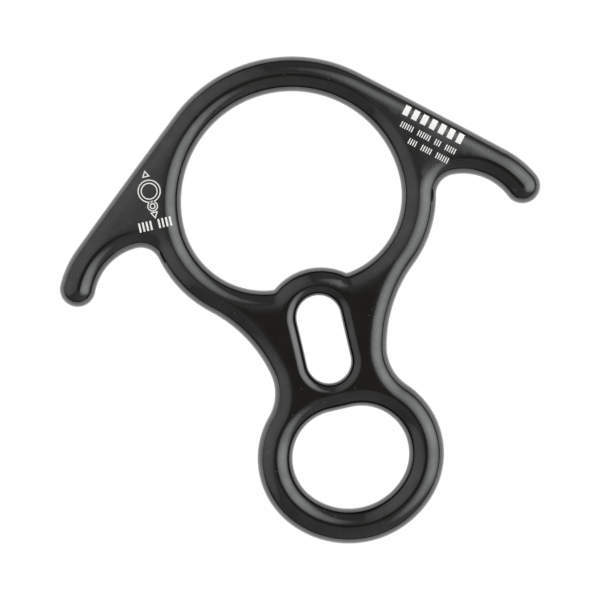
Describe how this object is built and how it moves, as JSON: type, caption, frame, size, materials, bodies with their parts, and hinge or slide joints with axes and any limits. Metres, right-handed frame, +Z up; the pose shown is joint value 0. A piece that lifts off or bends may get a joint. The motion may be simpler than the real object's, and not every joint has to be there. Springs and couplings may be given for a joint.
{
  "type": "rescue figure-eight descender",
  "caption": "One-piece forged belay and abseil device with a large belay opening, two hooked ears, a rope slot in the neck and a carabiner eye.",
  "frame": {"origin": "middle of the bounding box in X and Y, on the underside that it lies on", "axes": "+Z up through the thickness, +Y from the carabiner eye to the belay opening, +X across the ears"},
  "size_m": [0.1748, 0.1754, 0.012],
  "materials": {
    "black_anodised_aluminium": "hot-forged, tumbled smooth and black anodised, satin gloss, with white laser-etched marks"
  },
  "bodies": {
    "root": {"descender_body": "black_anodised_aluminium"}
  },
  "joints": []
}
